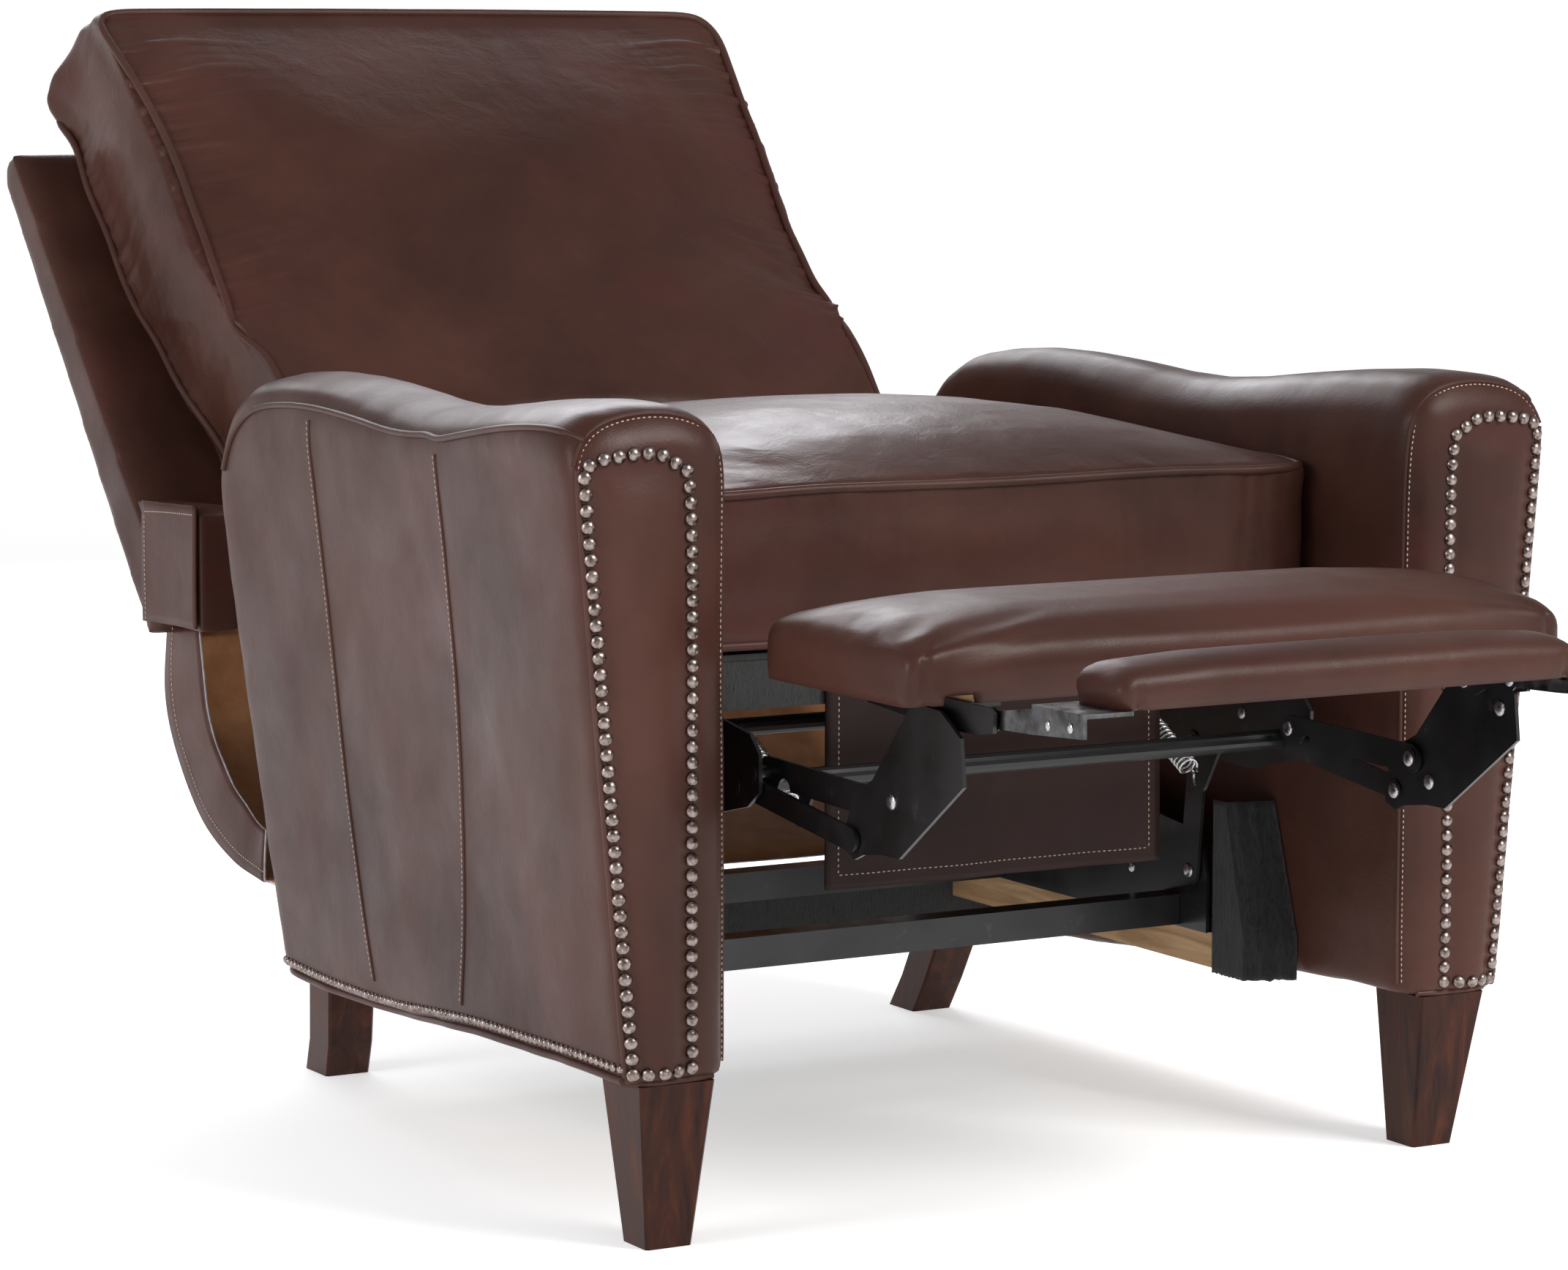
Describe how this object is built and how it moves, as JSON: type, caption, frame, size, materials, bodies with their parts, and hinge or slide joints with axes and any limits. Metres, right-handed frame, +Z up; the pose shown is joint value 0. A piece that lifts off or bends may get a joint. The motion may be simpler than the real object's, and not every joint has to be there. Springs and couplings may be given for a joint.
{
  "type": "recliner armchair",
  "caption": "Leather push-back recliner with padded arms on wooden legs, a reclining cushioned back, and a footrest with a folding front pad carried on a steel linkage.",
  "frame": {"origin": "on the floor under the middle of the reclined chair, footrest included", "axes": "+X to the right seen from in front, -Y the way the sitter faces, +Z up; back reclined and footrest out"},
  "size_m": [0.8696, 1.6204, 0.906],
  "materials": {
    "leather": "semi-gloss, mottled dark brown to oxblood",
    "suede": "matt flesh side of the hide",
    "stained_wood": "satin lacquer over a warm brown stain",
    "bare_wood": "planed, unfinished",
    "black_steel": "semi-gloss black paint",
    "bright_steel": "zinc plated spring wire",
    "cambric": "matt black non-woven dust cloth",
    "webbing": "woven seat deck cloth"
  },
  "bodies": {
    "base": {"arm_left": "leather", "arm_right": "leather", "base_plate_left": "black_steel", "base_plate_right": "black_steel", "base_rear_rail": "bare_wood", "base_side_rail_left": "bare_wood", "base_side_rail_right": "bare_wood", "cambric_strip_left": "cambric", "cambric_strip_right": "cambric", "front_cross_tube": "black_steel", "front_leg_left": "stained_wood", "front_leg_right": "stained_wood", "rear_apron": "suede", "rear_cross_tube": "black_steel", "rear_leg_left": "stained_wood", "rear_leg_right": "stained_wood"},
    "back": {"back_bracket_left": "black_steel", "back_bracket_right": "black_steel", "back_cushion": "leather", "back_frame": "leather", "back_post_left": "leather", "back_post_right": "leather", "back_side_flap_left": "leather", "back_side_flap_right": "leather"},
    "drive_links": {"drive_link_left": "black_steel", "drive_link_right": "black_steel", "torque_tube": "black_steel"},
    "flipper": {"flipper_board": "bare_wood", "flipper_bracket_left": "black_steel", "flipper_bracket_right": "black_steel", "flipper_pad": "leather"},
    "footrest": {"footrest_pad": "leather", "pad_board": "bare_wood", "pad_bracket_left": "black_steel", "pad_bracket_right": "black_steel"},
    "front_plates": {"front_plate_left": "black_steel", "front_plate_right": "black_steel"},
    "front_swing_links": {"front_swing_link_left": "black_steel", "front_swing_link_right": "black_steel"},
    "guide_links": {"guide_link_left": "black_steel", "guide_link_right": "black_steel"},
    "rear_swing_links": {"rear_swing_link_left": "black_steel", "rear_swing_link_right": "black_steel"},
    "seat": {"seat_cross_bar": "black_steel", "seat_cushion": "leather", "seat_deck": "webbing", "seat_front_flap": "leather", "seat_front_rail": "bare_wood", "seat_plate_left": "black_steel", "seat_plate_right": "black_steel", "seat_rear_rail": "bare_wood", "seat_side_rail_left": "bare_wood", "seat_side_rail_right": "bare_wood", "spring_left": "bright_steel", "spring_right": "bright_steel"}
  },
  "joints": [
    {"name": "recline", "type": "hinge", "parent": "base", "child": "back", "pos_m": [0, 0.27676, 0.38], "axis": [1, 0, 0], "range_deg": [0, 22], "deforming": ["rear_apron"]},
    {"name": "front_swing", "type": "hinge", "parent": "base", "child": "front_swing_links", "pos_m": [0, -0.23324, 0.2], "axis": [1, 0, 0], "range_deg": [-13.2, 0]},
    {"name": "rear_swing", "type": "hinge", "parent": "base", "child": "rear_swing_links", "pos_m": [0, 0.11676, 0.235], "axis": [1, 0, 0], "range_deg": [-13.2, 0]},
    {"name": "seat_carry", "type": "hinge", "parent": "front_swing_links", "child": "seat", "pos_m": [0, -0.24524, 0.309], "axis": [1, 0, 0], "range_deg": [0, 13.2]},
    {"name": "footrest_drive", "type": "hinge", "parent": "seat", "child": "drive_links", "pos_m": [0, -0.37124, 0.326], "axis": [1, 0, 0], "range_deg": [0, 128.28], "deforming": ["spring_left", "spring_right"]},
    {"name": "elbow", "type": "hinge", "parent": "drive_links", "child": "front_plates", "pos_m": [0, -0.53124, 0.306], "axis": [1, 0, 0], "range_deg": [-85, 0]},
    {"name": "pad_turn", "type": "hinge", "parent": "front_plates", "child": "footrest", "pos_m": [0, -0.62824, 0.404], "axis": [1, 0, 0], "range_deg": [0, 46.6]},
    {"name": "flipper_fold", "type": "hinge", "parent": "footrest", "child": "flipper", "pos_m": [0, -0.69024, 0.41], "axis": [1, 0, 0], "range_deg": [0, 180.2]},
    {"name": "guide_turn", "type": "hinge", "parent": "seat", "child": "guide_links", "pos_m": [0, -0.39594, 0.3382], "axis": [1, 0, 0], "range_deg": [0, 128.9]}
  ],
  "couplings": [
    {"joint": "front_swing", "follows": "recline", "ratio": -0.5955},
    {"joint": "rear_swing", "follows": "recline", "ratio": -0.5955},
    {"joint": "seat_carry", "follows": "recline", "ratio": 0.5955},
    {"joint": "elbow", "follows": "footrest_drive", "ratio": -0.66054},
    {"joint": "pad_turn", "follows": "footrest_drive", "ratio": 0.36213},
    {"joint": "flipper_fold", "follows": "footrest_drive", "ratio": 1.4032},
    {"joint": "guide_turn", "follows": "footrest_drive", "ratio": 1.0031}
  ]
}
